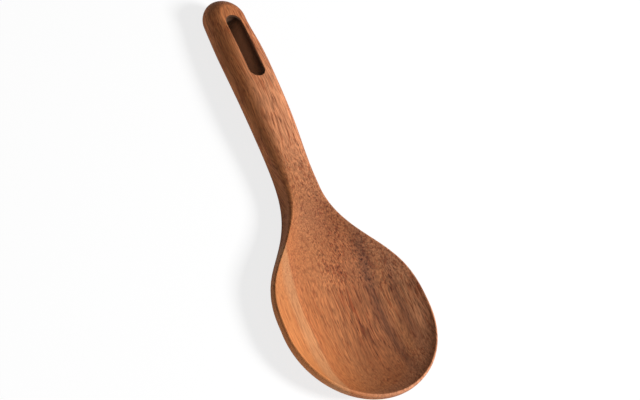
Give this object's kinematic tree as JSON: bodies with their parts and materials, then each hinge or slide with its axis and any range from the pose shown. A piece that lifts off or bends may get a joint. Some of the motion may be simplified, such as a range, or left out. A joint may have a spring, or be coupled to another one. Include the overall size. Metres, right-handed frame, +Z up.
{
  "type": "rice paddle",
  "caption": "Carved wooden rice paddle with a wide dished bowl, a narrow square-sided neck and a rounded, gently arched handle with a hanging slot.",
  "frame": {"origin": "on the table under the middle of the paddle's length and width, with the paddle lying on its back, bowl open upwards", "axes": "+Y along the paddle from the handle's end to the bowl's tip, +Z up out of the bowl, +X across the bowl"},
  "size_m": [0.082, 0.225, 0.0183],
  "materials": {
    "oiled_hardwood": "sanded and oiled, satin, open pores along the grain"
  },
  "bodies": {
    "root": {"paddle_body": "oiled_hardwood"}
  },
  "joints": []
}
